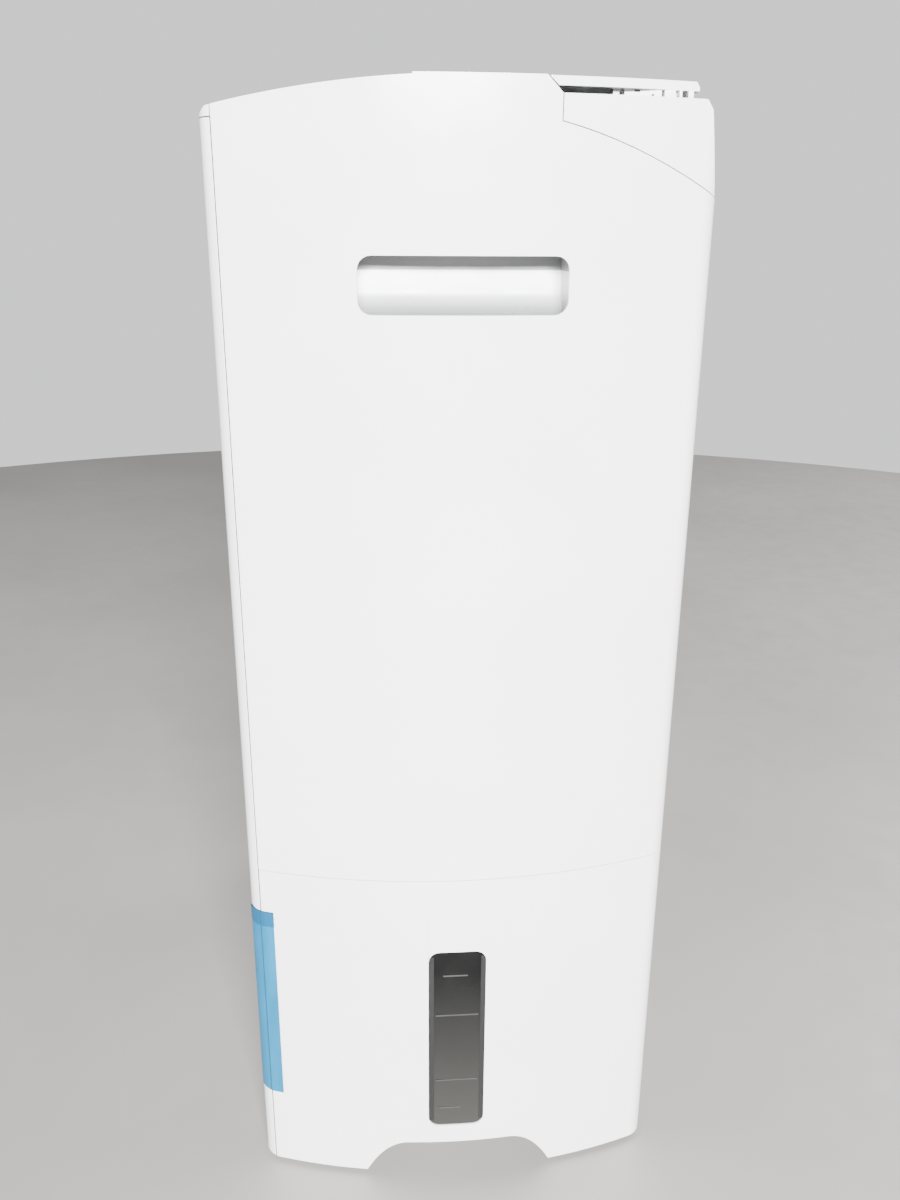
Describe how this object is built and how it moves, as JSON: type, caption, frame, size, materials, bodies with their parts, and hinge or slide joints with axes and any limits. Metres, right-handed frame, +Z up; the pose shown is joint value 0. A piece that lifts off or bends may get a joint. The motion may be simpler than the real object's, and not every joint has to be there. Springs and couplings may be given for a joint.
{
  "type": "dehumidifier",
  "caption": "Slim upright dehumidifier with a louvred top outlet, rear intake grille, side hand recesses and a slide-out water tank with a level window.",
  "frame": {"origin": "middle of the footprint at floor level", "axes": "+Z up, +X towards the side where the tank pulls out, -Y towards the front, +Y towards the intake grille"},
  "size_m": [0.37, 0.225, 0.58],
  "materials": {
    "shell_white": "glossy moulded ABS, very slightly cool white",
    "cup_white": "semi-gloss moulded ABS",
    "grille_white": "fine satin moulded grille",
    "filter_mesh": "dark fine nylon mesh in a plastic frame",
    "panel_grey": "smooth pearl grey control strip",
    "display_glass": "smoked black display lens",
    "button_white": "satin key caps",
    "circuit_board": "green solder mask with components",
    "frame_plastic": "plain grey-white structural plastic",
    "duct_grey": "dark grey moulded duct",
    "scroll_plastic": "mid grey glass-filled plastic",
    "motor_steel": "zinc-plated pressed steel",
    "compressor_black": "black enamelled steel can",
    "rubber_black": "moulded black rubber",
    "coil_aluminium": "bare aluminium fins",
    "copper": "bare copper tube, lightly tarnished",
    "rotor_media": "corrugated zeolite honeycomb with a plastic rim",
    "pinion_white": "natural acetal",
    "heater_mica": "mica and wire element in a plated case",
    "sensor_white": "plain white moulding",
    "tank_clear": "translucent bluish polypropylene",
    "window_smoke": "smoked transparent acrylic",
    "float_foam": "orange float",
    "switch_black": "black sensor moulding",
    "screw_steel": "zinc-plated cross-head screws",
    "tape_blue": "thin translucent blue film tape"
  },
  "bodies": {
    "housing": {"base_tray": "frame_plastic", "rubber_feet": "rubber_black", "front_panel": "shell_white", "side_panel_right": "shell_white", "side_panel_left": "shell_white", "top_cover": "shell_white", "upper_rear_cover": "shell_white", "rear_cover": "shell_white", "handle_cup_right": "cup_white", "handle_cup_left": "cup_white", "control_panel": "panel_grey", "display_window": "display_glass", "control_board": "circuit_board", "main_board": "circuit_board", "electronics_box": "frame_plastic", "pivot_block_right": "cup_white", "pivot_block_left": "cup_white", "louver_motor": "motor_steel", "outlet_duct": "duct_grey", "fan_scroll": "scroll_plastic", "fan_motor": "motor_steel", "inner_chassis": "frame_plastic", "compressor": "compressor_black", "compressor_grommets": "rubber_black", "evaporator": "coil_aluminium", "condenser": "coil_aluminium", "refrigerant_pipes": "copper", "filter_drier": "copper", "rotor_frame": "frame_plastic", "rotor_motor": "motor_steel", "heater": "heater_mica", "drain_pan": "frame_plastic", "humidity_sensor": "sensor_white", "tank_switch": "switch_black", "cord_gland": "rubber_black", "rear_screws": "screw_steel"},
    "intake": {"rear_grille": "grille_white", "air_filter": "filter_mesh"},
    "water_tank": {"tank": "tank_clear", "tank_face": "shell_white", "tank_window": "window_smoke", "tank_lid": "tank_clear", "tank_handle": "sensor_white", "shipping_tape": "tape_blue"},
    "float": {"tank_float": "float_foam"},
    "flap": {"louver_flap": "shell_white"},
    "blade": {"inner_louver": "duct_grey"},
    "fan": {"fan_wheel": "scroll_plastic"},
    "rotor": {"desiccant_rotor": "rotor_media"},
    "pinion": {"rotor_pinion": "pinion_white"},
    "key_power": {"button_power": "button_white"},
    "key_mode": {"button_mode": "button_white"},
    "key_laundry": {"button_laundry": "button_white"},
    "key_timer": {"button_timer": "button_white"},
    "key_louver": {"button_louver": "button_white"}
  },
  "joints": [
    {"name": "tank_slide", "type": "slide", "parent": "housing", "child": "water_tank", "axis": [1, 0, 0], "range_m": [0, 0.18]},
    {"name": "float_lift", "type": "hinge", "parent": "water_tank", "child": "float", "pos_m": [0.081, 0, 0.152], "axis": [0, 1, 0], "range_deg": [0, 16]},
    {"name": "flap_open", "type": "hinge", "parent": "housing", "child": "flap", "pos_m": [0, 0.0765, 0.57], "axis": [-1, 0, 0], "range_deg": [0, 80]},
    {"name": "blade_turn", "type": "hinge", "parent": "housing", "child": "blade", "pos_m": [0, 0.0545, 0.56], "axis": [-1, 0, 0], "range_deg": [0, 40]},
    {"name": "grille_tilt", "type": "hinge", "parent": "housing", "child": "intake", "pos_m": [0, 0.1109, 0.2145], "axis": [-1, 0, 0], "range_deg": [0, 28]},
    {"name": "fan_spin", "type": "hinge", "parent": "housing", "child": "fan", "pos_m": [-0.02102, 0, 0.346], "axis": [0, 1, 0], "continuous": true},
    {"name": "rotor_spin", "type": "hinge", "parent": "housing", "child": "rotor", "pos_m": [-0.02102, 0, 0.346], "axis": [0, 1, 0], "continuous": true},
    {"name": "pinion_spin", "type": "hinge", "parent": "housing", "child": "pinion", "pos_m": [0.06949, 0, 0.25549], "axis": [0, 1, 0], "continuous": true},
    {"name": "press_power", "type": "slide", "parent": "housing", "child": "key_power", "axis": [0, 0.1501, -0.9887], "range_m": [0, 0.0008], "stiffness_N_per_m": 500, "springref_m": -0.0003},
    {"name": "press_mode", "type": "slide", "parent": "housing", "child": "key_mode", "axis": [0, 0.1501, -0.9887], "range_m": [0, 0.0008], "stiffness_N_per_m": 500, "springref_m": -0.0003},
    {"name": "press_laundry", "type": "slide", "parent": "housing", "child": "key_laundry", "axis": [0, 0.1501, -0.9887], "range_m": [0, 0.0008], "stiffness_N_per_m": 500, "springref_m": -0.0003},
    {"name": "press_timer", "type": "slide", "parent": "housing", "child": "key_timer", "axis": [0, 0.1501, -0.9887], "range_m": [0, 0.0008], "stiffness_N_per_m": 500, "springref_m": -0.0003},
    {"name": "press_louver", "type": "slide", "parent": "housing", "child": "key_louver", "axis": [0, 0.1501, -0.9887], "range_m": [0, 0.0008], "stiffness_N_per_m": 500, "springref_m": -0.0003}
  ],
  "couplings": [
    {"joint": "blade_turn", "follows": "flap_open", "ratio": 0.5},
    {"joint": "pinion_spin", "follows": "rotor_spin", "ratio": -9.6667}
  ]
}
